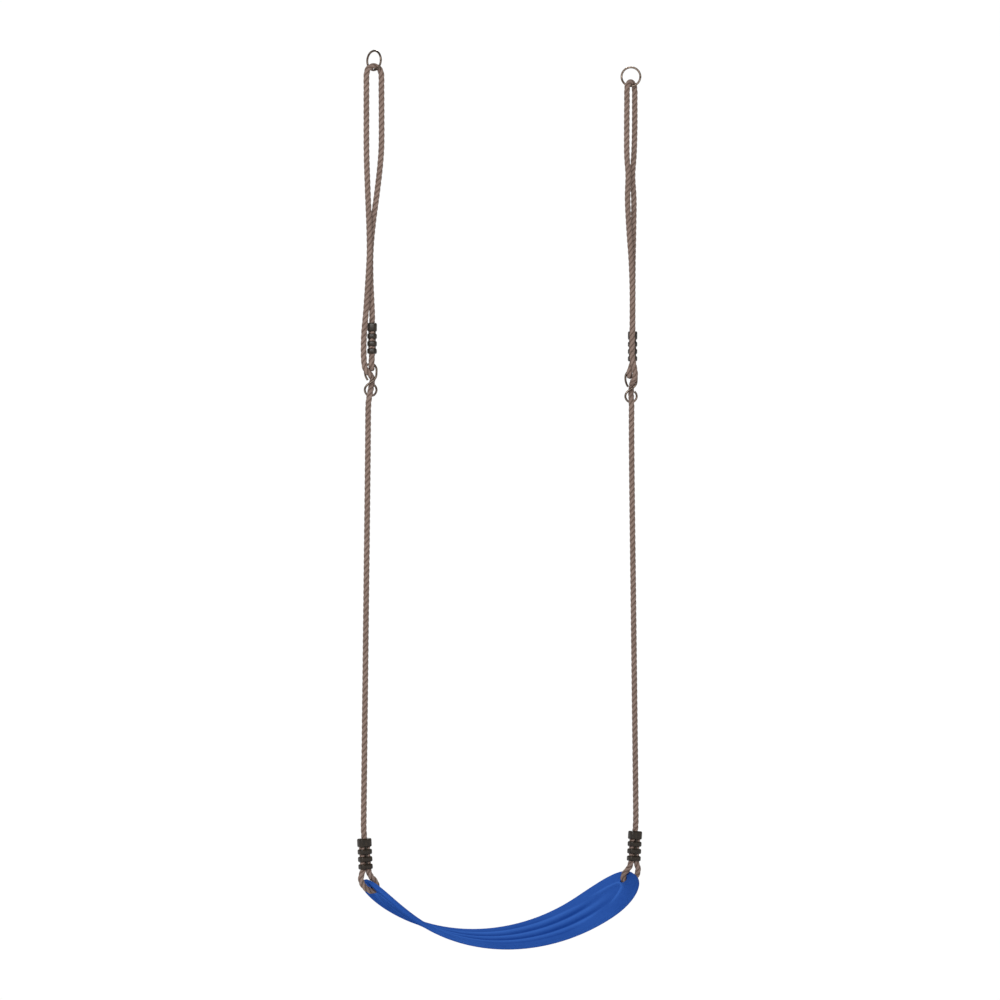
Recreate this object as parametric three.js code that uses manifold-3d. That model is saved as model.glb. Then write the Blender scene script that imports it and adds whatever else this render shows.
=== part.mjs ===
// Flexible belt swing seat on two adjustable ropes, in millimetres, +Z up.
// X runs across the swing from rope to rope, and the origin lies midway between the two rings, at the
// height where they hang on the hooks of a swing frame. Each rope runs from the eye in the seat up through
// a steel figure-of-eight hook and over the ring, and comes back down to hang the hook by its tail.
import * as THREE from "three";
import { mergeVertices } from "three/addons/utils/BufferGeometryUtils.js";
import Module from "manifold-3d";

const wasm = await Module();
wasm.setup();

// ---- driving sizes ----
const GAP = 0.3; // between touching pieces
const ROPE_DIAMETER = 10.5; // over the three strands
const ROPE_RADIUS = ROPE_DIAMETER / 2;
const TURN = THREE.MathUtils.degToRad(-30.8); // how far both hooks are turned about the ropes

const RING_SPACING = 564; // between ring centres
const RING_OUTER = 40;
const RING_WIRE = 4;
const RING_RADIUS = (RING_OUTER - RING_WIRE) / 2;
const RING_CENTRE_Z = -(RING_OUTER / 2 - RING_WIRE);

const HOOK_TOP_Z = -578;
const HOOK_HEIGHT = 63;
const HOOK_WIDTH = 25.4;
const HOOK_WIRE = 4;

const TAIL_CLAMP_TOP_Z = -503.5;
const TAIL_MIDDLE = 7; // of each tail clamp, behind the hooks' middle plane
const CLAMP_TOP_RIB = 16;
const CLAMP_RIB = 10;
const CLAMP_NECK = 3.8;
const CLAMP_RIBS = 4;
const CLAMP_SIDE_WALL = 2.3;
const CLAMP_FACE_WALL = 3;
const STRAND_OFFSET = ROPE_RADIUS + 0.35; // of each rope strand from the clamp's middle
const BORE_RADIUS = ROPE_RADIUS + 0.7; // loose enough for the lay of the strands
const CLAMP_LENGTH = CLAMP_TOP_RIB + (CLAMP_RIBS - 1) * (CLAMP_RIB + CLAMP_NECK);
const STRAND_END = 15.5; // depth below the clamp's top at which the cut end of the rope stops
const LEAD_IN = 6; // rope that stands out of a clamp's top and moves with it

const SEAT_LENGTH = 640; // along the belt
const SEAT_WIDTH = 140;
const SEAT_SHEET = 6;
const SEAT_RIM = 9.5; // depth of the turned-down edge
const SEAT_ROUND_END = 107; // length of each tapered round end
const SEAT_TIP_HALF_WIDTH = 4;
const SEAT_HOLE_RADIUS = 8.4;
const SEAT_HOLE_FROM_END = 22;
const SEAT_HOLE_Z = -1554;
const SEAT_SLOPE = [0.72, 0.115]; // belt slope in radians: linear and cubic share at the end
const SEAT_LEAN = THREE.MathUtils.degToRad(9.4);
const CLAMP_OUTBOARD = 24; // of the seat's hole
const CLAMP_ABOVE_HOLE = 95;
const CLAMP_LEAN = THREE.MathUtils.degToRad(3.5); // foot inboard

const TAIL_BACK = TAIL_MIDDLE + STRAND_OFFSET; // the tail's two strands in its clamp
const TAIL_FRONT = TAIL_MIDDLE - STRAND_OFFSET;

// ---- rope routes: points chosen by hand, [x, y, z] ----
// Above the seat clamps x and y are measured from the ring's middle, in axes turned with the hooks: x to
// the right along the hook's face, y away from its front. Seat eyes: [outboard, 0, up] from a clamp's top.
const ROUTES = {
  left: {
    bight: [
      [-13.7, -8.2, -60], [-13.7, -8.2, -46], [-11.9, -7.1, -34.5], [-6.9, -4.1, -28.6], [0, 0, -26.4],
      [6.9, 4.1, -28.6], [11.9, 7.1, -34.5], [13.7, 8.2, -46], [13.7, 8.2, -60],
    ],
    standing: [
      [-13.7, -8.2, -60.3], [-13.5, -8.2, -120], [-13, -8.2, -190], [-10.5, -8, -260], [-7.5, -7.5, -330],
      [-6.8, -7.5, -375], [-9.5, -9, -430], [-13, -11, -485], [-16, -11.5, -520], [-16.9, -11, -543],
    ],
    tail: [
      [13.7, 8.2, -60.3], [14.2, 8.2, -120], [14, 8, -180], [11, 7.5, -220], [6.5, 6.5, -260],
      [-1, 5.8, -320], [-5, 5.8, -370], [-5, 6.3, -420], [-3, 6.8, -465], [-1.9, 7, -488],
      [-1.9, 7, -497.2],
    ],
    tailEye: [
      [-1.9, TAIL_MIDDLE, -497.5], [-1.9, TAIL_MIDDLE, -505],
      [-1.9, TAIL_MIDDLE + STRAND_OFFSET / 2, -511.5], [-1.9, TAIL_BACK, -519], [-1.9, TAIL_BACK, -531],
      [-1.9, TAIL_BACK, -551], [-1.9, TAIL_BACK - 0.1, -562], [-2.3, 10.8, -571], [-2.5, 7.8, -580],
      [-2.5, 5.5, -586], [-2.5, 0, -588.8], [-2.5, -5.5, -586], [-2.5, -7.8, -580], [-2.3, -4, -571.5],
      [-1.9, TAIL_FRONT - 0.1, -562.5], [-1.9, TAIL_FRONT, -551], [-1.9, TAIL_FRONT, -530],
      [-1.9, TAIL_FRONT, -519],
    ],
    inHook: [
      [-16.9, -11, -543.3], [-16.9, -10.5, -560], [-16.2, -9.8, -576], [-14.8, -9.2, -586],
      [-11.6, -8.6, -592.5], [-8, -5.8, -596.5], [-4.8, -1.5, -600], [-2.7, 3, -603], [-1.2, 7, -607.8],
      [-1.2, 8.3, -612.5], [-2.4, 6.8, -618.5], [-3.4, 1.5, -625], [-4.4, -4.5, -631.5], [-5.8, -8, -639],
      [-7.4, -8.2, -649], [-8.2, -7.6, -662], [-8.3, -7.6, -676],
    ],
  },
  right: {
    bight: [
      [-7.8, -14, -60], [-7.8, -14, -46], [-6.8, -12.1, -34.5], [-3.9, -7, -28.6], [0, 0, -26.4],
      [3.9, 7, -28.6], [6.8, 12.1, -34.5], [7.8, 14, -46], [7.8, 14, -60],
    ],
    standing: [
      [-7.8, -14, -60.3], [-8, -14, -120], [-7.5, -13.5, -170], [-5, -13, -205], [-6, -13, -250],
      [-3, -13, -310], [1.5, -13.5, -370], [3.6, -14, -425], [3.8, -15, -480], [3.5, -16.6, -520],
      [3.4, -16.8, -543],
    ],
    tail: [
      [7.8, 14, -60.3], [7.8, 14, -120], [6.5, 13, -165], [4, 11, -205], [6.5, 10, -250],
      [6, 8, -310], [5, 7, -370], [4.8, 7, -425], [4.8, 7, -470], [4.8, 7, -497.2],
    ],
    tailEye: [
      [4.8, TAIL_MIDDLE, -497.5], [4.8, TAIL_MIDDLE, -505],
      [4.8, TAIL_MIDDLE + STRAND_OFFSET / 2, -511.5], [4.8, TAIL_BACK, -519], [4.8, TAIL_BACK, -531],
      [4.8, TAIL_BACK, -551], [4.7, TAIL_BACK - 0.1, -562], [2.4, 11.2, -571], [-0.8, 8, -580.5],
      [-1, 5.5, -587], [-1, 0, -589.8], [-1, -5.5, -587], [-0.8, -7.8, -580.5], [2.4, -4, -571.5],
      [4.7, TAIL_FRONT - 0.1, -562.5], [4.8, TAIL_FRONT, -551], [4.8, TAIL_FRONT, -530],
      [4.8, TAIL_FRONT, -519],
    ],
    inHook: [
      [3.4, -16.8, -543.3], [3.6, -16.9, -552], [6.8, -16.8, -570], [8.8, -14.4, -581],
      [9.2, -11.4, -589.5],
      [7, -7, -596.7], [4.4, -0.8, -601.5], [3.8, 5, -604.8], [3.2, 7.8, -609], [2.8, 8.3, -614],
      [2.2, 6.2, -620], [2.2, 0.8, -626.5], [2.5, -5, -633], [2.8, -8, -640], [2.9, -8, -651],
      [2.9, -7.6, -663], [2.9, -7.6, -676],
    ],
  },
};
// The rope below each hook: share of its drop, and share of its drift across towards the seat clamp.
const LOWER_BENDS = [
  [0, 0], [0.08, 0.04], [0.24, 0.2], [0.44, 0.43], [0.66, 0.67], [0.87, 0.9], [0.955, 0.985], [1, 1],
];
const SEAT_EYE = [
  [0, 0, LEAD_IN], [0, 0, -1.5], [2.8, 0, -8], [STRAND_OFFSET, 0, -15.5], [STRAND_OFFSET, 0, -27],
  [STRAND_OFFSET, 0, -48], [STRAND_OFFSET, 0, -58], [7.8, 0, -63.5], [10.3, 0, -69.5], [11.1, 0, -76],
  [8.4, 0, -84.6], [1.5, 0, -92.7], [-5.5, 0, -96.9], [-12, 0, -98.9], [-18.2, 0, -96.3],
  [-21.5, 0, -90.2], [-19.6, 0, -83.5], [-16.4, 0, -78.4], [-11.1, 0, -72.8], [-7.5, 0, -66.5],
  [-STRAND_OFFSET - 0.3, 0, -60.5], [-STRAND_OFFSET, 0, -55], [-STRAND_OFFSET, 0, -40],
  [-STRAND_OFFSET, 0, -STRAND_END],
];
const CLAMP_ENTRY = [
  [0, 0, 3], [0, 0, -1.5], [2.8, 0, -8], [STRAND_OFFSET, 0, -15.5], [STRAND_OFFSET, 0, -27],
];

// ---- materials ----
const steel = new THREE.MeshStandardMaterial({ color: 0x8d8b86, roughness: 0.32, metalness: 1 });
const rope = new THREE.MeshStandardMaterial({ color: 0x87766c, roughness: 0.92, metalness: 0 });
const clampPlastic = new THREE.MeshStandardMaterial({ color: 0x23201c, roughness: 0.45, metalness: 0 });
const seatPlastic = new THREE.MeshStandardMaterial({ color: 0x1e4ba6, roughness: 0.42, metalness: 0 });

// ---- helpers ----
function polygon(radius, sides) {
  const corners = [];
  for (let i = 0; i < sides; i++) {
    const angle = (2 * Math.PI * i) / sides;
    corners.push(new THREE.Vector2(radius * Math.cos(angle), radius * Math.sin(angle)));
  }
  return new THREE.Shape(corners);
}

function tube(points, radius, steps, sides = 8) {
  const path = new THREE.CatmullRomCurve3(points.map((p) => new THREE.Vector3(...p)));
  path.arcLengthDivisions = 600;
  return new THREE.ExtrudeGeometry(polygon(radius, sides), { steps, extrudePath: path });
}

function toSolid(geometry) {
  const bare = geometry.clone();
  bare.deleteAttribute("normal");
  bare.deleteAttribute("uv");
  const merged = mergeVertices(bare, 1e-4);
  return new wasm.Manifold(
    new wasm.Mesh({
      numProp: 3,
      vertProperties: merged.attributes.position.array,
      triVerts: new Uint32Array(merged.index.array),
    }),
  );
}

function toGeometry(solid) {
  const mesh = solid.getMesh();
  const geometry = new THREE.BufferGeometry();
  geometry.setAttribute("position", new THREE.BufferAttribute(new Float32Array(mesh.vertProperties), 3));
  geometry.setIndex(new THREE.BufferAttribute(new Uint32Array(mesh.triVerts), 1));
  geometry.computeVertexNormals();
  return geometry;
}

function named(name, geometry, material) {
  const mesh = new THREE.Mesh(geometry, material);
  mesh.name = name;
  return mesh;
}

// ---- ring: welded round wire, standing upright ----
function ringGeometry() {
  return new THREE.TorusGeometry(RING_RADIUS, RING_WIRE / 2, 8, 32).rotateX(Math.PI / 2);
}

// ---- figure-of-eight hook: one bent wire, a tall lobe for the tail over a short one, open ends ----
function hookGeometry() {
  const reach = (HOOK_WIDTH - HOOK_WIRE) / 2;
  const low = -HOOK_HEIGHT + HOOK_WIRE / 2;
  const high = -HOOK_WIRE / 2;
  const at = (share) => high + (low - high) * share;
  const wire = [
    [-0.51 * reach, at(0.51)], [-0.8 * reach, at(0.42)], [-reach, at(0.28)], [-0.95 * reach, at(0.12)],
    [-0.55 * reach, at(0.02)], [0, high], [0.55 * reach, at(0.02)], [0.95 * reach, at(0.12)],
    [reach, at(0.28)], [0.9 * reach, at(0.41)], [0.52 * reach, at(0.51)], [0, at(0.577)],
    [-0.6 * reach, at(0.66)], [-0.95 * reach, at(0.75)], [-reach, at(0.85)], [-0.6 * reach, at(0.97)],
    [0, low], [0.6 * reach, at(0.97)], [reach, at(0.85)], [0.93 * reach, at(0.74)],
    [0.61 * reach, at(0.655)],
  ];
  return tube(wire.map(([x, z]) => [x, 0, z]), HOOK_WIRE / 2, 46, 8);
}

// ---- rope clamp: four ribs round two rope strands, joined by side bars and a middle web ----
function clampGeometry() {
  const halfWidth = STRAND_OFFSET + BORE_RADIUS + CLAMP_SIDE_WALL;
  const halfDepth = BORE_RADIUS + CLAMP_FACE_WALL;
  const corner = halfDepth * 0.62;

  function rib(top, height) {
    const outline = new THREE.Shape();
    outline.moveTo(-halfWidth + corner, -halfDepth);
    outline.lineTo(halfWidth - corner, -halfDepth);
    outline.absarc(halfWidth - corner, -halfDepth + corner, corner, -Math.PI / 2, 0);
    outline.absarc(halfWidth - corner, halfDepth - corner, corner, 0, Math.PI / 2);
    outline.absarc(-halfWidth + corner, halfDepth - corner, corner, Math.PI / 2, Math.PI);
    outline.absarc(-halfWidth + corner, -halfDepth + corner, corner, Math.PI, 1.5 * Math.PI);
    const bevel = 1.6;
    const block = new THREE.ExtrudeGeometry(outline, {
      depth: height - 2 * bevel, curveSegments: 1, bevelEnabled: true,
      bevelThickness: bevel, bevelSize: bevel, bevelOffset: -bevel, bevelSegments: 1,
    });
    return toSolid(block.translate(0, 0, top - height + bevel));
  }

  function bar(x, width, depth) {
    const length = CLAMP_LENGTH - 4;
    const box = new THREE.BoxGeometry(width, depth, length);
    return toSolid(box.translate(x, 0, -CLAMP_LENGTH / 2));
  }

  function strandBore(x, top) {
    const bottom = -CLAMP_LENGTH - 1;
    return toSolid(tube([[x, 0, top], [x, 0, (top + bottom) / 2], [x, 0, bottom]], BORE_RADIUS, 1, 10));
  }

  let body = rib(0, CLAMP_TOP_RIB);
  for (let i = 0; i < CLAMP_RIBS - 1; i++) {
    const top = -CLAMP_TOP_RIB - CLAMP_NECK - i * (CLAMP_RIB + CLAMP_NECK);
    body = body.add(rib(top, CLAMP_RIB));
  }
  const barWidth = 3.4;
  const barX = halfWidth - 1.2 - barWidth / 2;
  body = body.add(bar(-barX, barWidth, 9)).add(bar(barX, barWidth, 9)).add(bar(0, 4, 2 * halfDepth - 4));
  body = body.subtract(toSolid(tube(CLAMP_ENTRY, BORE_RADIUS, 8, 10)));
  body = body.subtract(strandBore(STRAND_OFFSET, -STRAND_END));
  body = body.subtract(strandBore(-STRAND_OFFSET, -STRAND_END + GAP));
  return toGeometry(body);
}

// ---- seat: one moulded belt that sags between its two rope holes ----
function seatSlope(along) {
  const share = along / (SEAT_LENGTH / 2);
  return SEAT_SLOPE[0] * share + SEAT_SLOPE[1] * share ** 3;
}

// The belt's middle surface at a distance along it from the middle: x outboard and z up, unshifted.
function seatPoint(along) {
  const parts = 40;
  const step = along / parts;
  let x = 0;
  let z = 0;
  for (let i = 0; i < parts; i++) {
    const slope = seatSlope((i + 0.5) * step);
    x += Math.cos(slope) * step;
    z += Math.sin(slope) * step;
  }
  return { x, z };
}

const SEAT_HOLE_ALONG = SEAT_LENGTH / 2 - SEAT_HOLE_FROM_END;
const SEAT_HOLE = seatPoint(SEAT_HOLE_ALONG);

function seatHalfWidth(along) {
  const into = (Math.abs(along) - (SEAT_LENGTH / 2 - SEAT_ROUND_END)) / SEAT_ROUND_END;
  const share = THREE.MathUtils.clamp(into, 0, 1);
  const roundness = 2.3;
  const half = (SEAT_WIDTH / 2) * (1 - share ** roundness) ** (1 / roundness);
  return Math.max(half, SEAT_TIP_HALF_WIDTH);
}

function seatGeometry() {
  const belt = new THREE.BoxGeometry(2, 2, 2, 40, 10, 1);
  const place = belt.attributes.position;
  const straight = SEAT_LENGTH / 2 - SEAT_ROUND_END;
  const straightShare = 0.5; // of the length segments that lie on the straight-sided middle
  for (let i = 0; i < place.count; i++) {
    const share = Math.abs(place.getX(i));
    const round = Math.max(0, (share - straightShare) / (1 - straightShare));
    const reach = straight * Math.min(share / straightShare, 1);
    const along = Math.sign(place.getX(i)) * (reach + SEAT_ROUND_END * Math.sin((round * Math.PI) / 2));
    const across = Math.sin((place.getY(i) * Math.PI) / 2);
    const rim = THREE.MathUtils.smoothstep(Math.abs(across), 0.8, 0.95) * (SEAT_RIM - SEAT_SHEET);
    const lift = place.getZ(i) > 0 ? SEAT_SHEET / 2 : -SEAT_SHEET / 2 - rim;
    const slope = seatSlope(along);
    const middle = seatPoint(along);
    place.setXYZ(
      i,
      middle.x - Math.sin(slope) * lift,
      across * seatHalfWidth(along),
      middle.z - SEAT_HOLE.z + Math.cos(slope) * lift,
    );
  }
  let body = toSolid(belt);
  for (const side of [-1, 1]) {
    const bore = new THREE.CylinderGeometry(SEAT_HOLE_RADIUS, SEAT_HOLE_RADIUS, 4 * SEAT_SHEET, 24);
    bore.rotateX(Math.PI / 2).rotateY(-side * seatSlope(SEAT_HOLE_ALONG));
    body = body.subtract(toSolid(bore.translate(side * SEAT_HOLE.x, 0, 0)));
  }
  return toGeometry(body);
}

// ---- lower rope: hangs from the hook and drifts across to just above the seat clamp ----
function lowerRope(top, end) {
  const lerp = THREE.MathUtils.lerp;
  return LOWER_BENDS.map(([drop, drift]) => [
    lerp(top.x, end.x, drift),
    lerp(top.y, end.y, drift),
    lerp(top.z, end.z, drop),
  ]);
}

// ---- assembly ----
const swing = new THREE.Group();
const ringTurn = { left: 45.8, right: 84.8 }; // each ring's facing, in the hooks' axes
const hookX = { left: -4, right: 2 };
const tailClampX = { left: -1.9, right: 4.8 };

for (const [side, sign] of [["left", -1], ["right", 1]]) {
  const route = ROUTES[side];
  const upper = new THREE.Group();
  upper.position.set((sign * RING_SPACING) / 2, 0, 0);
  upper.rotation.z = TURN;
  swing.add(upper);

  const ring = named(`ring_${side}`, ringGeometry(), steel);
  ring.position.z = RING_CENTRE_Z;
  ring.rotation.z = THREE.MathUtils.degToRad(ringTurn[side] - 90);
  upper.add(ring);

  const hook = named(`adjuster_hook_${side}`, hookGeometry(), steel);
  hook.position.set(hookX[side], 0, HOOK_TOP_Z);
  upper.add(hook);

  const tailClamp = named(`tail_clamp_${side}`, clampGeometry(), clampPlastic);
  tailClamp.position.set(tailClampX[side], TAIL_MIDDLE, TAIL_CLAMP_TOP_Z);
  tailClamp.rotation.z = Math.PI / 2;
  upper.add(tailClamp);

  upper.add(named(`rope_bight_${side}`, tube(route.bight, ROPE_RADIUS, 14), rope));
  upper.add(named(`rope_standing_${side}`, tube(route.standing, ROPE_RADIUS, 18), rope));
  upper.add(named(`rope_tail_${side}`, tube(route.tail, ROPE_RADIUS, 16), rope));
  upper.add(named(`rope_tail_eye_${side}`, tube(route.tailEye, ROPE_RADIUS, 26), rope));
  upper.add(named(`rope_in_hook_${side}`, tube(route.inHook, ROPE_RADIUS, 26), rope));

  const lower = new THREE.Group();
  lower.position.set(sign * (SEAT_HOLE.x + CLAMP_OUTBOARD), 0, SEAT_HOLE_Z + CLAMP_ABOVE_HOLE);
  lower.rotation.set(0, sign * CLAMP_LEAN, sign > 0 ? 0 : Math.PI);
  swing.add(lower);
  swing.updateMatrixWorld(true);
  lower.add(named(`seat_clamp_${side}`, clampGeometry(), clampPlastic));
  lower.add(named(`rope_seat_eye_${side}`, tube(SEAT_EYE, ROPE_RADIUS, 32), rope));

  const top = upper.localToWorld(new THREE.Vector3(...route.inHook.at(-1)));
  top.z -= GAP;
  const foot = lower.localToWorld(new THREE.Vector3(0, 0, LEAD_IN + GAP));
  const overFoot = lower.localToWorld(new THREE.Vector3(0, 0, LEAD_IN + 12));
  const hanging = [...lowerRope(top, overFoot), foot.toArray()];
  swing.add(named(`rope_below_${side}`, tube(hanging, ROPE_RADIUS, 20), rope));
}

const seat = named("seat", seatGeometry(), seatPlastic);
seat.position.z = SEAT_HOLE_Z;
seat.rotation.x = SEAT_LEAN;
swing.add(seat);

export default swing;
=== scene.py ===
# Flexible belt swing: a moulded belt seat on two adjustable three-strand ropes. All sizes in metres.
import math

import bpy
import numpy as np
from mathutils import Matrix, Vector


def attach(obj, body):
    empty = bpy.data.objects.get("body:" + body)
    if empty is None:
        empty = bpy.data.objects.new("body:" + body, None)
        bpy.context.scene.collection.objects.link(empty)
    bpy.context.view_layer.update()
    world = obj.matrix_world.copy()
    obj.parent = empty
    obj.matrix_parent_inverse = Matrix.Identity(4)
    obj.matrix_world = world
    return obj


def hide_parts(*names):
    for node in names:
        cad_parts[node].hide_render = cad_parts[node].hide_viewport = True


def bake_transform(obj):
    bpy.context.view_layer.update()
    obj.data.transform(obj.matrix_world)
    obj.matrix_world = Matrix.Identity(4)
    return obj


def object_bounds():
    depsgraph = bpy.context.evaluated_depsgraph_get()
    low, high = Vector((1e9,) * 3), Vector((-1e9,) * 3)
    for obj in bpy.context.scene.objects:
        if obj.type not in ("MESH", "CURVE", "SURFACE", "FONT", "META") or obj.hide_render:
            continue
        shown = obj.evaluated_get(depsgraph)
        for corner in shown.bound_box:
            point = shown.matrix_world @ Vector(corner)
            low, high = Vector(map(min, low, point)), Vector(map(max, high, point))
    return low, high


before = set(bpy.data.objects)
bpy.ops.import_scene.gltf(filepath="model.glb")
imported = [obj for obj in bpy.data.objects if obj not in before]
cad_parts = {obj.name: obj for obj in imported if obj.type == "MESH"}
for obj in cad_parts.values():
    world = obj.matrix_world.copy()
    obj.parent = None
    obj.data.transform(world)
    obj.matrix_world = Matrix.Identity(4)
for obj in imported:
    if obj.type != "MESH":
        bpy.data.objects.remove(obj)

cad_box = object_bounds()


# ---- camera ----
# A long lens on a tripod, to the left of the swing and level with the middle of its lower ropes. It is
# tilted up by less than a degree, so that the swing hangs in the middle of the frame.
CAMERA_AZIMUTH = math.radians(-30.767)
CAMERA_TILT = math.radians(90.857)
CAMERA_PLACE = (-4.864, -8.160, -0.9715)
CAMERA_ROLL = math.radians(-0.19)

bpy.ops.object.select_all(action="DESELECT")
bpy.ops.object.camera_add(location=CAMERA_PLACE, rotation=(CAMERA_TILT, CAMERA_ROLL, CAMERA_AZIMUTH))
camera = bpy.context.object
camera.name = "studio_camera"
camera.data.lens = 181.6
camera.data.sensor_width = 36
camera.data.clip_end = 200
bpy.context.scene.camera = camera


# ---- ropes ----
# Each side hangs on one continuous rope, three strands laid right-handed from stiff grey-brown yarn.
# From its cut end in the tail clamp it goes round the adjuster hook, up over the ring, down through the
# hook and to the seat, where it passes through the belt's hole and ends in the seat clamp.
ROPE_PITCH = 0.034
STRAND_RADIUS = 0.0040
STRAND_REACH = 0.00165
STRAND_SIDES = 10
RINGS_PER_TURN = 16
RING_SPACING = 0.564
HOOK_TURN = math.radians(-30.8)
SEAT_HOLE_X = 0.2728
SEAT_HOLE_Z = -1.554
CLAMP_X = SEAT_HOLE_X + 0.024
CLAMP_Z = SEAT_HOLE_Z + 0.095
STRAND_OFFSET = 0.0056
SIDES = {"left": -1, "right": 1}

# Points from the ring's middle: x along the hook's face, y away from its front, z from the ring's seat.
ROUTES = {
    "left": {
        "tail_eye": [
            (-0.0019, 0.0014, -0.5190), (-0.0019, 0.0014, -0.5300), (-0.0019, 0.0014, -0.5510),
            (-0.0019, 0.0013, -0.5625), (-0.0023, -0.0040, -0.5715), (-0.0025, -0.0078, -0.5800),
            (-0.0025, -0.0055, -0.5860), (-0.0025, 0.0000, -0.5888), (-0.0025, 0.0055, -0.5860),
            (-0.0025, 0.0078, -0.5800), (-0.0023, 0.0108, -0.5710), (-0.0019, 0.0125, -0.5620),
            (-0.0019, 0.0126, -0.5510), (-0.0019, 0.0126, -0.5310), (-0.0019, 0.0126, -0.5190),
            (-0.0019, 0.0098, -0.5115), (-0.0019, 0.0070, -0.5050), (-0.0019, 0.0070, -0.4974),
        ],
        "loop": [
            (-0.0019, 0.0070, -0.4880), (-0.0030, 0.0068, -0.4650), (-0.0050, 0.0063, -0.4200),
            (-0.0050, 0.0058, -0.3700), (-0.0010, 0.0058, -0.3200), (0.0065, 0.0065, -0.2600),
            (0.0110, 0.0075, -0.2200), (0.0140, 0.0080, -0.1800), (0.0142, 0.0082, -0.1200),
            (0.0137, 0.0082, -0.0602), (0.0137, 0.0082, -0.0460), (0.0119, 0.0071, -0.0345),
            (0.0069, 0.0041, -0.0286), (0.0000, 0.0000, -0.0264), (-0.0069, -0.0041, -0.0286),
            (-0.0119, -0.0071, -0.0345), (-0.0137, -0.0082, -0.0460), (-0.0137, -0.0082, -0.0602),
        ],
        "standing": [
            (-0.0135, -0.0082, -0.1200), (-0.0130, -0.0082, -0.1900), (-0.0105, -0.0080, -0.2600),
            (-0.0075, -0.0075, -0.3300), (-0.0068, -0.0075, -0.3750), (-0.0095, -0.0090, -0.4300),
            (-0.0130, -0.0110, -0.4850), (-0.0160, -0.0115, -0.5200), (-0.0169, -0.0110, -0.5432),
        ],
        "in_hook": [
            (-0.0169, -0.0105, -0.5600), (-0.0162, -0.0098, -0.5760), (-0.0148, -0.0092, -0.5860),
            (-0.0116, -0.0086, -0.5925), (-0.0080, -0.0058, -0.5965), (-0.0048, -0.0015, -0.6000),
            (-0.0027, 0.0030, -0.6030), (-0.0012, 0.0070, -0.6078), (-0.0012, 0.0083, -0.6125),
            (-0.0024, 0.0068, -0.6185), (-0.0034, 0.0015, -0.6250), (-0.0044, -0.0045, -0.6315),
            (-0.0058, -0.0080, -0.6390), (-0.0074, -0.0082, -0.6490), (-0.0082, -0.0076, -0.6620),
            (-0.0083, -0.0076, -0.6762),
        ],
    },
    "right": {
        "tail_eye": [
            (0.0048, 0.0014, -0.5190), (0.0048, 0.0014, -0.5300), (0.0048, 0.0014, -0.5510),
            (0.0047, 0.0013, -0.5625), (0.0024, -0.0040, -0.5715), (-0.0008, -0.0078, -0.5800),
            (-0.0010, -0.0055, -0.5870), (-0.0010, 0.0000, -0.5898), (-0.0010, 0.0055, -0.5870),
            (-0.0008, 0.0080, -0.5805), (0.0024, 0.0112, -0.5710), (0.0047, 0.0125, -0.5620),
            (0.0048, 0.0126, -0.5510), (0.0048, 0.0126, -0.5310), (0.0048, 0.0126, -0.5190),
            (0.0048, 0.0098, -0.5115), (0.0048, 0.0070, -0.5050), (0.0048, 0.0070, -0.4974),
        ],
        "loop": [
            (0.0048, 0.0070, -0.4700), (0.0048, 0.0070, -0.4250), (0.0050, 0.0070, -0.3700),
            (0.0060, 0.0080, -0.3100), (0.0065, 0.0100, -0.2500), (0.0040, 0.0110, -0.2050),
            (0.0065, 0.0130, -0.1650), (0.0078, 0.0140, -0.1200), (0.0078, 0.0140, -0.0602),
            (0.0078, 0.0140, -0.0460), (0.0068, 0.0121, -0.0345), (0.0039, 0.0070, -0.0286),
            (0.0000, 0.0000, -0.0264), (-0.0039, -0.0070, -0.0286), (-0.0068, -0.0121, -0.0345),
            (-0.0078, -0.0140, -0.0460), (-0.0078, -0.0140, -0.0602),
        ],
        "standing": [
            (-0.0080, -0.0140, -0.1200), (-0.0075, -0.0135, -0.1700), (-0.0050, -0.0130, -0.2050),
            (-0.0060, -0.0130, -0.2500), (-0.0030, -0.0130, -0.3100), (0.0015, -0.0135, -0.3700),
            (0.0036, -0.0140, -0.4250), (0.0038, -0.0150, -0.4800), (0.0035, -0.0166, -0.5200),
            (0.0034, -0.0168, -0.5432),
        ],
        "in_hook": [
            (0.0036, -0.0169, -0.5520), (0.0068, -0.0168, -0.5700), (0.0088, -0.0144, -0.5810),
            (0.0092, -0.0114, -0.5895), (0.0070, -0.0070, -0.5967), (0.0044, -0.0008, -0.6015),
            (0.0038, 0.0050, -0.6048), (0.0032, 0.0078, -0.6090), (0.0028, 0.0083, -0.6140),
            (0.0022, 0.0062, -0.6200), (0.0022, 0.0008, -0.6265), (0.0025, -0.0050, -0.6330),
            (0.0028, -0.0080, -0.6400), (0.0029, -0.0080, -0.6510), (0.0029, -0.0076, -0.6630),
            (0.0029, -0.0076, -0.6762),
        ],
    },
}
# The rope below each hook: share of its drop, and share of its drift across towards the seat clamp.
LOWER_BENDS = [(0.08, 0.04), (0.24, 0.2), (0.44, 0.43), (0.66, 0.67), (0.87, 0.9), (0.955, 0.985), (1, 1)]
# Points from the seat clamp's top, along the clamp's own lean: outboard of it and above it.
SEAT_EYE = [
    (0.0000, -0.0015), (0.0028, -0.0080), (0.0056, -0.0155), (0.0056, -0.0270), (0.0056, -0.0480),
    (0.0056, -0.0580), (0.0078, -0.0635), (0.0103, -0.0695), (0.0111, -0.0760), (0.0084, -0.0846),
    (0.0015, -0.0927), (-0.0055, -0.0969), (-0.0120, -0.0989), (-0.0182, -0.0963), (-0.0215, -0.0902),
    (-0.0196, -0.0835), (-0.0164, -0.0784), (-0.0111, -0.0728), (-0.0075, -0.0665), (-0.0059, -0.0605),
    (-0.0056, -0.0550), (-0.0056, -0.0400), (-0.0056, -0.0155),
]
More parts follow.
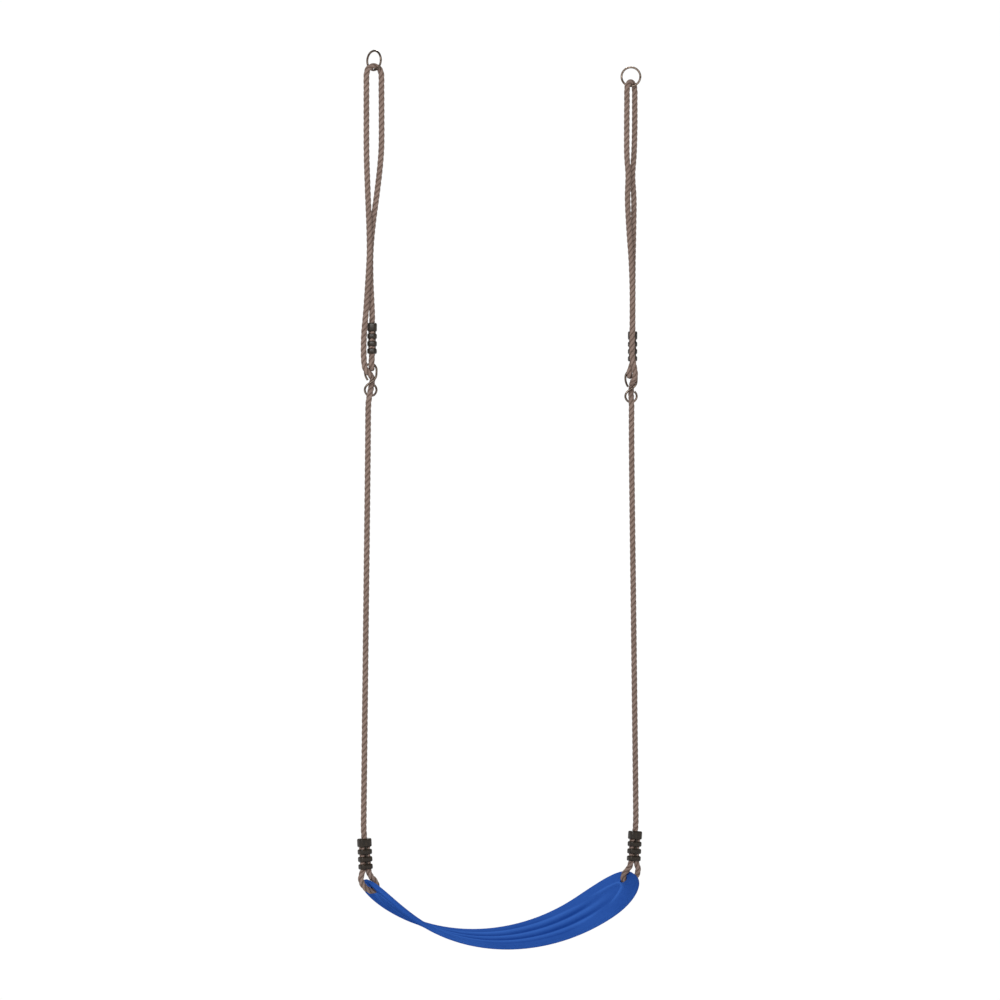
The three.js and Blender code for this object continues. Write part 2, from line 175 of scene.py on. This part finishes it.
# The rope enters a seat clamp straight, from the second of these heights above it down to the first.
LEAD_IN = 0.0061
STRAIGHT_ABOVE = 0.018
CLAMP_LEAN = math.radians(3.5)


def smooth_line(points, spacing):
    """A smooth line through the points (centripetal Catmull-Rom), as evenly spaced points."""
    knots = np.array(points, float)
    knots = np.vstack([2 * knots[0] - knots[1], knots, 2 * knots[-1] - knots[-2]])
    line = []
    for a, b, c, d in zip(knots, knots[1:], knots[2:], knots[3:]):
        t0 = 0.0
        t1 = t0 + math.sqrt(np.linalg.norm(b - a))
        t2 = t1 + math.sqrt(np.linalg.norm(c - b))
        t3 = t2 + math.sqrt(np.linalg.norm(d - c))
        t = np.linspace(t1, t2, 24, endpoint=False)[:, None]
        ab = (t1 - t) / (t1 - t0) * a + (t - t0) / (t1 - t0) * b
        bc = (t2 - t) / (t2 - t1) * b + (t - t1) / (t2 - t1) * c
        cd = (t3 - t) / (t3 - t2) * c + (t - t2) / (t3 - t2) * d
        abc = (t2 - t) / (t2 - t0) * ab + (t - t0) / (t2 - t0) * bc
        bcd = (t3 - t) / (t3 - t1) * bc + (t - t1) / (t3 - t1) * cd
        line.append((t2 - t) / (t2 - t1) * abc + (t - t1) / (t2 - t1) * bcd)
    line = np.vstack([*line, knots[-2][None]])
    along = np.concatenate([[0], np.cumsum(np.linalg.norm(np.diff(line, axis=0), axis=1))])
    even = np.linspace(0, along[-1], round(along[-1] / spacing) + 1)
    return np.stack([np.interp(even, along, line[:, k]) for k in range(3)], axis=1)


def strand_outline():
    """The rope's outline across: (angle, reach) of points round three strands that touch."""
    outline = []
    for strand in range(3):
        for i in range(STRAND_SIDES):
            turn = math.radians(-60 + 120 * i / STRAND_SIDES)
            across = STRAND_REACH * math.sin(turn)
            reach = STRAND_REACH * math.cos(turn) + math.sqrt(STRAND_RADIUS**2 - across**2)
            outline.append((turn + math.radians(120 * strand), reach))
    return np.array(outline)


def lay_rope(line):
    """Rings of points for the rope along a line, its strands turning once in each pitch."""
    tangent = np.gradient(line, axis=0)
    tangent /= np.linalg.norm(tangent, axis=1)[:, None]
    outline = strand_outline()
    step = np.linalg.norm(line[1] - line[0])
    normal = np.cross(tangent[0], (1, 0, 0))
    rings = []
    for i, (point, ahead) in enumerate(zip(line, tangent)):
        normal = normal - ahead * (normal @ ahead)
        normal /= np.linalg.norm(normal)
        side = np.cross(ahead, normal)
        angle = outline[:, 0] + 2 * math.pi * i * step / ROPE_PITCH
        out = np.cos(angle)[:, None] * normal + np.sin(angle)[:, None] * side
        rings.append(point + outline[:, 1:] * out)
    return np.array(rings)


def rope_piece(name, rings, line, first_turn):
    """One closed mesh from rings of points, with a UV map: round the rope, and turns along it."""
    count, sides = rings.shape[:2]
    vertices = [*map(tuple, rings.reshape(-1, 3)), tuple(line[0]), tuple(line[-1])]
    faces = []
    corners = []
    for i in range(count - 1):
        for k in range(sides):
            j = (k + 1) % sides
            faces.append((i * sides + k, i * sides + j, (i + 1) * sides + j, (i + 1) * sides + k))
            u0, u1 = k / sides, (k + 1) / sides
            v0 = first_turn + i / RINGS_PER_TURN
            v1 = first_turn + (i + 1) / RINGS_PER_TURN
            corners += [(u0, v0), (u1, v0), (u1, v1), (u0, v1)]
    last = (count - 1) * sides
    for k in range(sides):
        j = (k + 1) % sides
        faces.append((count * sides, j, k))
        faces.append((count * sides + 1, last + k, last + j))
        corners += [(k / sides, first_turn)] * 6
    mesh = bpy.data.meshes.new(name)
    mesh.from_pydata(vertices, [], faces)
    uv = mesh.uv_layers.new(name="lay")
    uv.data.foreach_set("uv", np.array(corners, np.float32).ravel())
    piece = bpy.data.objects.new(name, mesh)
    bpy.context.collection.objects.link(piece)
    mesh.shade_smooth()
    return piece


class Socket:
    """An output of a material's nodes, so that shader sums are written as plain sums."""

    def __init__(self, tree, output=None):
        self.tree = tree
        self.output = output

    def node(self, kind, settings=None, values=None, give=0):
        made = self.tree.nodes.new(kind)
        for name, value in (settings or {}).items():
            if name == "stops":
                for stop, (place, colour) in zip(made.color_ramp.elements, value):
                    stop.position = place
                    stop.color = colour
            else:
                setattr(made, name, value)
        for name, value in (values or {}).items():
            if isinstance(value, Socket):
                self.tree.links.new(value.output, made.inputs[name])
            else:
                made.inputs[name].default_value = value
        return Socket(self.tree, made.outputs[give])

    def sum(self, operation, first, second=0.0):
        return self.node("ShaderNodeMath", {"operation": operation}, {0: first, 1: second})

    def __add__(self, other):
        return self.sum("ADD", self, other)

    __radd__ = __add__

    def __sub__(self, other):
        return self.sum("SUBTRACT", self, other)

    def __rsub__(self, other):
        return self.sum("SUBTRACT", other, self)

    def __mul__(self, other):
        return self.sum("MULTIPLY", self, other)

    __rmul__ = __mul__

    def sine(self):
        return self.sum("SINE", self)

    def mix(self, low, high):
        """The colour between low and high at this share."""
        return self.node(
            "ShaderNodeMix", {"data_type": "RGBA"}, {"Factor": self, 6: low, 7: high}, give=2
        )

    def clamp(self, low, high):
        """This value from low to high, as a share from 0 to 1."""
        return self.node(
            "ShaderNodeMapRange", {"clamp": True}, {"Value": self, "From Min": low, "From Max": high}
        )


def new_material(name, **constants):
    """A Principled material with values that are the same all over, and its node tree as a Socket."""
    material = bpy.data.materials.new(name)
    material.use_nodes = True
    shader = material.node_tree.nodes["Principled BSDF"]
    for socket, value in constants.items():
        shader.inputs[socket.replace("_", " ")].default_value = value
    return material, shader, Socket(material.node_tree)


def noise(nodes, scale, detail=2.0, roughness=0.5):
    """Noise over the object's own coordinates."""
    place = nodes.node("ShaderNodeTexCoord", give=3)
    return nodes.node(
        "ShaderNodeTexNoise",
        values={"Vector": place, "Scale": scale, "Detail": detail, "Roughness": roughness},
    )


def wire(shader, name, socket):
    """Feeds one input of the shader."""
    socket.tree.links.new(socket.output, shader.inputs[name])


def bumped(shader, nodes, height, distance, strength=1.0):
    """Feeds the shader's normal with a bump of this height."""
    bump = nodes.node("ShaderNodeBump", values={"Height": height, "Distance": distance, "Strength": strength})
    wire(shader, "Normal", bump)


def rope_material():
    """Grey-brown yarn: painted shade in the grooves between the strands, fine yarns along them, and worn
    patches.
    """
    material, shader, nodes = new_material("laid_rope", Roughness=0.9, Specular_IOR_Level=0.2)
    lay = nodes.node("ShaderNodeUVMap", {"uv_map": "lay"})
    around = nodes.node("ShaderNodeSeparateXYZ", values={"Vector": lay})
    turns = nodes.node("ShaderNodeSeparateXYZ", values={"Vector": lay}, give=1)
    crest = 0.5 - (around * (6 * math.pi) + math.pi / 2).sine() * 0.5
    yarn = ((around + turns) * (2 * math.pi * 30)).sine() * 0.5 + 0.5
    fibre = noise(nodes, 900.0, 4.0, 0.6)
    patch = noise(nodes, 38.0, 3.0)
    tone = (fibre * 0.45 + patch * 0.35 + yarn * 0.2).clamp(0.3, 0.72)
    body = tone.mix((0.161, 0.11, 0.088, 1), (0.325, 0.237, 0.202, 1))
    # Painted shade: the colour darkens from the strands' crests into the grooves between them.
    groove_shade = crest.clamp(0.0, 0.5)
    wire(shader, "Base Color", groove_shade.mix((0.116, 0.077, 0.06, 1), body))
    bumped(shader, nodes, yarn * 0.6 + fibre * 0.8, 0.0004, 0.9)
    return material


LAID_ROPE = rope_material()
# Each stretch: its key, the body or bodies that it belongs to (it is attached only when there is one body),
# and the CAD nodes that it stands for.
STRETCHES = {
    "tail_eye": (["adjuster"], ["rope_tail_eye"]),
    "loop": (["rope_tops", "adjuster"], ["rope_tail", "rope_bight"]),
    "standing": (["rope_tops", "adjuster"], ["rope_standing"]),
    "in_hook": (["adjuster"], ["rope_in_hook"]),
    "below": (["adjuster", "lower"], ["rope_below"]),
    "seat_eye": (["lower"], ["rope_seat_eye"]),
}


def seat_clamp_place(sign):
    """Where a seat clamp's top is, and how the clamp leans and faces: its x axis points outboard."""
    facing = Matrix.Rotation(0 if sign > 0 else math.pi, 4, "Z")
    return Matrix.Translation((sign * CLAMP_X, 0, CLAMP_Z)) @ facing @ Matrix.Rotation(CLAMP_LEAN, 4, "Y")


for side, sign in SIDES.items():
    turned = Matrix.Translation((sign * RING_SPACING / 2, 0, 0)) @ Matrix.Rotation(HOOK_TURN, 4, "Z")
    leaning = seat_clamp_place(sign)
    points = []
    joins = []
    for stretch in STRETCHES:
        if stretch == "seat_eye":
            points += [leaning @ Vector((out, 0, up)) for out, up in SEAT_EYE]
        elif stretch == "below":
            top = points[-1]
            run = leaning @ Vector((0, 0, STRAIGHT_ABOVE)) - top
            for drop, drift in LOWER_BENDS:
                points.append(top + Vector((run.x * drift, run.y * drift, run.z * drop)))
            points.append(leaning @ Vector((0, 0, LEAD_IN)))
        else:
            points += [turned @ Vector(p) for p in ROUTES[side][stretch]]
        joins.append(points[-1])
    line = smooth_line(points, ROPE_PITCH / RINGS_PER_TURN)
    rings = lay_rope(line)
    start = 0
    for (stretch, (bodies, nodes_replaced)), join in zip(STRETCHES.items(), joins):
        nearest = np.linalg.norm(line[start:] - np.array(join), axis=1).argmin()
        end = start + int(nearest)
        path = line[start : end + 1]
        rope = rope_piece(f"laid_{stretch}_{side}", rings[start : end + 1], path, start / RINGS_PER_TURN)
        rope.data.materials.append(LAID_ROPE)
        own = [b if b == "rope_tops" else f"{b}_{side}" for b in bodies]
        if len(own) == 1:
            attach(rope, own[0])
        else:
            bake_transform(rope)
        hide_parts(*[f"{node}_{side}" for node in nodes_replaced])
        start = end


# ---- rings ----
# A welded ring of round steel wire on each side, which slips over the swing frame's hook. The wire is
# drawn bright and the butt weld leaves a slight swelling at the side.
RING_WIRE = 0.002
RING_RADIUS = 0.018
RING_Z = -0.016
RING_FACING = {"left": math.radians(45.8 - 90), "right": math.radians(84.8 - 90)}


def steel_material():
    """Plated wire, clouded brown-black, with fine scuffs."""
    material, shader, nodes = new_material("bright_steel_wire", Metallic=1.0)
    cloud = noise(nodes, 140.0, 4.0, 0.6)
    scuff = noise(nodes, 1500.0, 2.0)
    wire(shader, "Base Color", cloud.clamp(0.3, 0.7).mix((0.04, 0.027, 0.02, 1), (0.2, 0.155, 0.125, 1)))
    wire(shader, "Roughness", scuff * 0.16 + cloud * 0.12 + 0.14)
    bumped(shader, nodes, scuff, 0.00005, 0.4)
    return material


STEEL = steel_material()

for side, sign in SIDES.items():
    facing = HOOK_TURN + RING_FACING[side]
    bpy.ops.object.select_all(action="DESELECT")
    bpy.ops.mesh.primitive_torus_add(
        major_radius=RING_RADIUS, minor_radius=RING_WIRE, major_segments=96, minor_segments=24,
    )
    ring = bpy.context.object
    ring.name = f"wire_ring_{side}"
    for vertex in ring.data.vertices:
        weld = math.exp(-((vertex.co.y / 0.0012) ** 2)) * (vertex.co.x > 0)
        middle = Vector((vertex.co.x, vertex.co.y, 0)).normalized() * RING_RADIUS
        vertex.co = middle + (vertex.co - middle) * (1 + 0.12 * weld)
    place = Matrix.Translation((sign * RING_SPACING / 2, 0, RING_Z)) @ Matrix.Rotation(facing, 4, "Z")
    ring.data.transform(place @ Matrix.Rotation(math.pi / 2, 4, "X"))
    ring.data.shade_smooth()
    ring.data.materials.append(STEEL)
    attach(ring, "rings")
    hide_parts(f"ring_{side}")


# ---- adjuster hooks ----
# A figure of eight bent from one piece of steel wire: a tall lobe over a short one, both left open.
# The rope's eye hangs the tall lobe, and the rope that carries the seat is threaded through both.
HOOK_TOP = -0.578
HOOK_HEIGHT = 0.063
HOOK_WIDTH = 0.0254
HOOK_WIRE = 0.004
HOOK_X = {"left": -0.004, "right": 0.002}
# The wire's middle line: share of the half width across, and share of the height down.
HOOK_BENDS = [
    (-0.51, 0.51), (-0.8, 0.42), (-1, 0.28), (-0.95, 0.12), (-0.55, 0.02), (0, 0), (0.55, 0.02),
    (0.95, 0.12), (1, 0.28), (0.9, 0.41), (0.52, 0.51), (0, 0.577), (-0.6, 0.66), (-0.95, 0.75),
    (-1, 0.85), (-0.6, 0.97), (0, 1), (0.6, 0.97), (1, 0.85), (0.93, 0.74), (0.61, 0.655),
]

for side, sign in SIDES.items():
    reach = (HOOK_WIDTH - HOOK_WIRE) / 2
    drop = HOOK_HEIGHT - HOOK_WIRE
    bends = [(x * reach, 0, -HOOK_WIRE / 2 - z * drop) for x, z in HOOK_BENDS]
    line = smooth_line(bends, 0.0008)
    bpy.ops.object.select_all(action="DESELECT")
    bpy.ops.curve.primitive_nurbs_path_add()
    hook = bpy.context.object
    hook.name = f"wire_hook_{side}"
    curve = hook.data
    curve.splines.clear()
    spline = curve.splines.new("POLY")
    spline.points.add(len(line) - 1)
    for point, place in zip(spline.points, line):
        point.co = (*place, 1)
    curve.bevel_depth = HOOK_WIRE / 2
    curve.bevel_resolution = 6
    curve.use_fill_caps = True
    bpy.ops.object.convert(target="MESH")
    hook.data.transform(
        Matrix.Translation((sign * RING_SPACING / 2, 0, 0))
        @ Matrix.Rotation(HOOK_TURN, 4, "Z")
        @ Matrix.Translation((HOOK_X[side], 0, HOOK_TOP))
    )
    rounding = hook.modifiers.new("rounded_ends", "BEVEL")
    rounding.width = 0.0007
    rounding.segments = 3
    rounding.limit_method = "ANGLE"
    rounding.angle_limit = math.radians(60)
    bpy.ops.object.modifier_apply(modifier=rounding.name)
    hook.data.shade_smooth()
    hook.data.materials.clear()
    hook.data.materials.append(STEEL)
    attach(hook, f"adjuster_{side}")
    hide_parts(f"adjuster_hook_{side}")


# ---- rope clamps ----
# Four ribs of tough black plastic on a middle web, moulded in two halves that snap round the rope. The
# two rope stretches that it grips show between the ribs.
CLAMP_HALF_WIDTH = 0.0130
CLAMP_HALF_DEPTH = 0.00895
CLAMP_CORNER = 0.0062
TOP_RIB = 0.016
RIB = 0.010
NECK = 0.0038
CLAMP_LENGTH = TOP_RIB + 3 * (RIB + NECK)
BORE = 0.00595


def clamp_material():
    """Brown-black plastic with a fine grain and uneven gloss."""
    material, shader, nodes = new_material("moulded_black_plastic", Specular_IOR_Level=0.3)
    cloud = noise(nodes, 220.0, 3.0)
    grain = noise(nodes, 2600.0, 2.0)
    wire(shader, "Base Color", cloud.clamp(0.3, 0.7).mix((0.008, 0.005, 0.003, 1), (0.028, 0.019, 0.011, 1)))
    wire(shader, "Roughness", cloud * 0.2 + 0.24)
    bumped(shader, nodes, grain, 0.00008, 0.5)
    return material


def add_block(width, depth, height, top):
    """A box with its top at this height, as the active object."""
    bpy.ops.object.select_all(action="DESELECT")
    bpy.ops.mesh.primitive_cube_add(size=1, location=(0, 0, top - height / 2), scale=(width, depth, height))
    bpy.ops.object.transform_apply(location=True, rotation=True, scale=True)
    return bpy.context.object


def bevel_edges(piece, width, segments, chosen):
    """Rounds the edges for which chosen(one end, other end) holds."""
    for edge in piece.data.edges:
        ends = [piece.data.vertices[i].co for i in edge.vertices]
        edge.select = bool(chosen(*ends))
    for vertex in piece.data.vertices:
        vertex.select = False
    for edge in piece.data.edges:
        if edge.select:
            for i in edge.vertices:
                piece.data.vertices[i].select = True
    for polygon in piece.data.polygons:
        polygon.select = False
    bpy.context.tool_settings.mesh_select_mode = (False, True, False)
    bpy.ops.object.mode_set(mode="EDIT")
    bpy.ops.mesh.bevel(offset=width, segments=segments, affect="EDGES")
    bpy.ops.object.mode_set(mode="OBJECT")


def rib(top, height):
    """One rib with round corners and rounded top and bottom edges."""
    piece = add_block(2 * CLAMP_HALF_WIDTH, 2 * CLAMP_HALF_DEPTH, height, top)
    bevel_edges(piece, CLAMP_CORNER, 6, lambda a, b: abs(a.z - b.z) > height / 2)
    bevel_edges(piece, 0.0027, 4, lambda a, b: abs(a.z - b.z) < 1e-6)
    return piece


def web(width, depth):
    """The middle web that runs down the clamp and holds its ribs, its long edges eased."""
    piece = add_block(width, depth, CLAMP_LENGTH - 0.004, -0.002)
    bevel_edges(piece, 0.0008, 2, lambda a, b: abs(a.z - b.z) > 0.01)
    return piece


def cut_or_join(piece, others, operation):
    """Joins the others to the piece, or cuts them from it, and deletes them."""
    for other in others:
        bpy.ops.object.select_all(action="DESELECT")
        bpy.context.view_layer.objects.active = piece
        piece.select_set(True)
        step = piece.modifiers.new("step", "BOOLEAN")
        step.operation = operation
        step.solver = "EXACT"
        step.object = other
        bpy.ops.object.modifier_apply(modifier=step.name)
        bpy.data.objects.remove(other, do_unlink=True)


def add_bore(x, top, bottom):
    """A round cutter for one stretch of rope."""
    bpy.ops.object.select_all(action="DESELECT")
    bpy.ops.mesh.primitive_cylinder_add(
        vertices=32, radius=BORE, depth=top - bottom, location=(x, 0, (top + bottom) / 2)
    )
    bpy.ops.object.transform_apply(location=True, rotation=True, scale=True)
    return bpy.context.object


def clamp_piece():
    """A clamp with its top at the origin: one rope comes in at the top, and two leave at the bottom."""
    body = rib(0, TOP_RIB)
    ribs = [rib(-TOP_RIB - NECK - i * (RIB + NECK), RIB) for i in range(3)]
    cut_or_join(body, [*ribs, web(0.0044, 0.0139)], "UNION")
    bottom = -CLAMP_LENGTH - 0.001
    bores = [
        add_bore(0, 0.002, -0.010),
        add_bore(STRAND_OFFSET * 0.5, -0.004, -0.016),
        add_bore(STRAND_OFFSET, -0.010, bottom),
        add_bore(-STRAND_OFFSET, -0.0152, bottom),
    ]
    cut_or_join(body, bores, "DIFFERENCE")
    return body


BLACK_PLASTIC = clamp_material()
pattern = clamp_piece()
pattern.data.materials.append(BLACK_PLASTIC)
pattern.data.shade_smooth()
bpy.ops.object.select_all(action="DESELECT")
pattern.select_set(True)
bpy.context.view_layer.objects.active = pattern
bpy.ops.object.shade_smooth_by_angle(angle=math.radians(40))
TAIL_CLAMP_PLACE = {"left": (-0.0019, 0.007, -0.5035), "right": (0.0048, 0.007, -0.5035)}

for side, sign in SIDES.items():
    upper = Matrix.Translation((sign * RING_SPACING / 2, 0, 0)) @ Matrix.Rotation(HOOK_TURN, 4, "Z")
    upper = upper @ Matrix.Translation(TAIL_CLAMP_PLACE[side]) @ Matrix.Rotation(math.pi / 2, 4, "Z")
    for kind, body, place in (("tail", "adjuster", upper), ("seat", "lower", seat_clamp_place(sign))):
        clamp = bpy.data.objects.new(f"ribbed_{kind}_clamp_{side}", pattern.data.copy())
        bpy.context.collection.objects.link(clamp)
        clamp.data.transform(place)
        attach(clamp, f"{body}_{side}")
        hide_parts(f"{kind}_clamp_{side}")
bpy.data.objects.remove(pattern, do_unlink=True)


# ---- belt seat ----
# One strip of flexible blue plastic, moulded flat with rounded ends, a thicker turned-down edge, a
# shallow fluted panel and a rope hole at each end. It hangs in a curve between its two holes.
SEAT_LENGTH = 0.640
SEAT_HALF_WIDTH = 0.070
SEAT_SHEET = 0.006
SEAT_RIM = 0.0095
ROUND_END = 0.107
ROUNDNESS = 2.3
TIP_HALF_WIDTH = 0.004
HOLE_RADIUS = 0.0072
HOLE_ALONG = SEAT_LENGTH / 2 - 0.022
SEAT_LEAN = math.radians(9.4)
BELT_CURVE = (0.72, 0.115)
STATIONS = 200
ACROSS = 72
EDGE_ROUND = 0.0047
FLUTE_SPACING = 0.035
FLUTE_HEIGHT = 0.0017
PANEL_HALF_WIDTH = 0.055
PANEL_STRAIGHT = 0.120
PANEL_END = 0.287
PANEL_TAPER = 1.1
PANEL_DEPTH = 0.0012
BEAD_HEIGHT = 0.0016


def belt_slope(along):
    """How steep the hanging belt is, in radians, at this distance from its middle."""
    share = along / (SEAT_LENGTH / 2)
    return BELT_CURVE[0] * share + BELT_CURVE[1] * share**3


def belt_line(along):
    """The belt's middle line at these distances from its middle: across the swing, and up."""
    fine = np.linspace(0, SEAT_LENGTH / 2, 2001)
    slope = belt_slope((fine[1:] + fine[:-1]) / 2)
    step = fine[1]
    out = np.concatenate([[0], np.cumsum(np.cos(slope) * step)])
    up = np.concatenate([[0], np.cumsum(np.sin(slope) * step)])
    return np.sign(along) * np.interp(abs(along), fine, out), np.interp(abs(along), fine, up)


def smoothstep(value, low, high):
    """A smooth step from 0 at low to 1 at high."""
    share = np.clip((value - low) / (high - low), 0, 1)
    return share * share * (3 - 2 * share)


def belt_half_width(along):
    """Half the belt's width, with its rounded ends."""
    into = np.clip((abs(along) - SEAT_LENGTH / 2 + ROUND_END) / ROUND_END, 0, 1)
    return np.maximum(SEAT_HALF_WIDTH * (1 - into**ROUNDNESS) ** (1 / ROUNDNESS), TIP_HALF_WIDTH)


def panel_distance(along, across):
    """How far outside the fluted panel's edge a point is; the panel narrows to a rounded tip."""
    run = PANEL_END - PANEL_STRAIGHT
    into = np.maximum(abs(along) - PANEL_STRAIGHT, 0) / run
    aside = abs(across) / PANEL_HALF_WIDTH
    fall_along = PANEL_TAPER * into ** (PANEL_TAPER - 1) / run
    fall_across = 2 * aside / PANEL_HALF_WIDTH
    return (aside**2 + into**PANEL_TAPER - 1) / np.maximum(np.hypot(fall_along, fall_across), 3)


def belt_flutes(along, across):
    """The lengthwise flutes, from -1 in a hollow to 1 on a crest, fading out towards the ends."""
    inside = 1 - smoothstep(panel_distance(along, across), -0.012, -0.001)
    return np.cos(2 * math.pi * across / FLUTE_SPACING) * inside * (1 - smoothstep(abs(along), 0.17, 0.28))


def belt_bead(along, across):
    """The bead that stands up round the panel's tip at each rope hole, from 0 to 1."""
    outside = panel_distance(along, across)
    return np.exp(-(((outside - 0.002) / 0.0032) ** 2)) * smoothstep(abs(along), 0.225, 0.262)


def belt_relief(along, across):
    """How far the moulded surface stands above the plain sheet."""
    panel = 1 - smoothstep(panel_distance(along, across), -0.009, 0.002)
    shaped = FLUTE_HEIGHT * belt_flutes(along, across) + BEAD_HEIGHT * belt_bead(along, across)
    return shaped - PANEL_DEPTH * panel


def seat_material():
    """Blue plastic, paler on the flute crests and beads as a painted highlight and darker in the flute
    hollows as painted shade, with faint clouding and grain.
    """
    material, shader, nodes = new_material("blue_moulded_plastic", Specular_IOR_Level=0.0)
    cloud = noise(nodes, 9.0, 3.0)
    grain = noise(nodes, 160.0, 2.0)
    # Painted light: the relief share makes the blue paler on flute crests and beads as a painted highlight,
    # and darker in the hollows as painted shade.
    painted_relief_light = nodes.node("ShaderNodeAttribute", {"attribute_name": "painted_relief_light"}, give=2)
    tone = (cloud * 0.35 + grain * 0.1 + painted_relief_light * 0.55).clamp(0.2, 0.75)
    wire(shader, "Base Color", tone.mix((0.005, 0.034, 0.21, 1), (0.034, 0.115, 0.43, 1)))
    wire(shader, "Roughness", cloud * 0.1 + grain * 0.1 + 0.4)
    bumped(shader, nodes, grain, 0.00002, 0.1)
    return material


def belt_piece():
    """A tube of stations along the belt, each a closed loop over its top and back under it."""
    bpy.ops.object.select_all(action="DESELECT")
    bpy.ops.mesh.primitive_grid_add(x_subdivisions=STATIONS, y_subdivisions=2 * ACROSS, size=2)
    belt = bpy.context.object
    belt.name = "moulded_belt_seat"
    co = np.array([v.co for v in belt.data.vertices])
    share = np.sin(co[:, 0] * math.pi / 2 * 0.985) / math.sin(math.pi / 2 * 0.985)
    along = (0.45 * co[:, 0] + 0.55 * share) * SEAT_LENGTH / 2
    # Round the loop: from the near edge over the top to the far edge, then back underneath.
    turn = (co[:, 1] + 1) / 2
    top = turn <= 0.5
    sweep = np.where(top, 4 * turn - 1, 3 - 4 * turn)
    half = belt_half_width(along)
    across = np.sin(sweep * math.pi / 2) * half
    relief = belt_relief(along, across)
    inset = half - abs(across)
    rim = (SEAT_RIM - SEAT_SHEET) * smoothstep(abs(across) / half, 0.8, 0.95)
    lift = np.where(top, SEAT_SHEET / 2, -SEAT_SHEET / 2 - rim) + relief * np.where(top, 1, 0.7)
    middle = np.where(top, 1, -1) * EDGE_ROUND
    rounding = np.sqrt(np.clip(1 - (1 - np.clip(inset / EDGE_ROUND, 0, 1)) ** 2, 0, 1))
    lift = lift - middle * (1 - rounding)
    slope = belt_slope(along)
    out, up = belt_line(along)
    _, hole_up = belt_line(np.array([HOLE_ALONG]))
    x = out - np.sin(slope) * lift
    z = up - hole_up[0] + np.cos(slope) * lift
    placed = np.stack([x, across, z], axis=1)
    belt.data.vertices.foreach_set("co", placed.astype(np.float32).ravel())
    # A share for the material's painted light: high on flute crests and beads (painted highlight), low in the
    # flute hollows (painted shade).
    painted_relief_light = belt.data.attributes.new("painted_relief_light", "FLOAT", "POINT")
    height = 0.5 + 0.4 * belt_flutes(along, across) + 0.5 * belt_bead(along, across)
    painted_relief_light.data.foreach_set("value", height.astype(np.float32))
    belt.data.update()
    bpy.ops.object.mode_set(mode="EDIT")
    bpy.ops.mesh.select_all(action="SELECT")
    bpy.ops.mesh.remove_doubles(threshold=0.00002)
    bpy.ops.mesh.select_all(action="DESELECT")
    bpy.ops.mesh.select_non_manifold()
    bpy.ops.mesh.fill_holes(sides=0)
    bpy.ops.mesh.select_all(action="SELECT")
    bpy.ops.mesh.normals_make_consistent(inside=False)
    bpy.ops.object.mode_set(mode="OBJECT")
    return belt


belt = belt_piece()
hole_out = belt_line(np.array([HOLE_ALONG]))[0][0]
for sign in SIDES.values():
    bpy.ops.object.select_all(action="DESELECT")
    bpy.ops.mesh.primitive_cylinder_add(
        vertices=48, radius=HOLE_RADIUS, depth=0.03, location=(sign * hole_out, 0, 0),
        rotation=(0, -sign * belt_slope(HOLE_ALONG), 0),
    )
    cut_or_join(belt, [bpy.context.object], "DIFFERENCE")
belt.data.transform(Matrix.Translation((0, 0, SEAT_HOLE_Z)) @ Matrix.Rotation(SEAT_LEAN, 4, "X"))
bpy.ops.object.select_all(action="DESELECT")
belt.select_set(True)
bpy.context.view_layer.objects.active = belt
bpy.ops.object.shade_smooth_by_angle(angle=math.radians(50))
belt.data.materials.append(seat_material())
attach(belt, "seat")
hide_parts("seat")


# ---- studio ----
# A pale floor under the hanging swing, and soft light: white low down all round, a dimmer ceiling, a
# large soft box in front and to the left, and a smaller one above and behind for the belt's ridges.
FLOOR_Z = cad_box[0][2] - 0.35

bpy.ops.object.select_all(action="DESELECT")
bpy.ops.mesh.primitive_plane_add(size=3.6, location=(0, 0, FLOOR_Z))
floor = bpy.context.object
floor.name = "studio_floor"
floor_paint, floor_shader, floor_nodes = new_material("pale_floor", Roughness=1.0)
wire(floor_shader, "Base Color", noise(floor_nodes, 3.0).mix((0.86, 0.86, 0.86, 1), (0.9, 0.9, 0.9, 1)))
floor.data.materials.append(floor_paint)


def soft_box(name, place, size, power):
    """A square area light that faces the swing's middle."""
    bpy.ops.object.light_add(type="AREA", location=place)
    lamp = bpy.context.object
    lamp.name = name
    lamp.data.size = size
    lamp.data.energy = power
    aim = Vector((0, 0, -1.0)) - Vector(place)
    lamp.rotation_euler = aim.to_track_quat("-Z", "Y").to_euler()


soft_box("main_soft_box", (-3.6, -4.4, 1.6), 2.4, 230)
soft_box("back_soft_box", (1.6, 2.6, 2.4), 1.4, 150)
world = bpy.data.worlds.new("studio_light")
world.use_nodes = True
sky = Socket(world.node_tree)
direction = sky.node("ShaderNodeSeparateXYZ", values={"Vector": sky.node("ShaderNodeTexCoord")}, give=2)
backdrop = world.node_tree.nodes["Background"]
backdrop.inputs["Color"].default_value = (1, 1, 1, 1)
world.node_tree.links.new((1.02 - direction.clamp(0.12, 0.3) * 0.72).output, backdrop.inputs["Strength"])
bpy.context.scene.world = world
bpy.context.scene.view_settings.view_transform = "Standard"
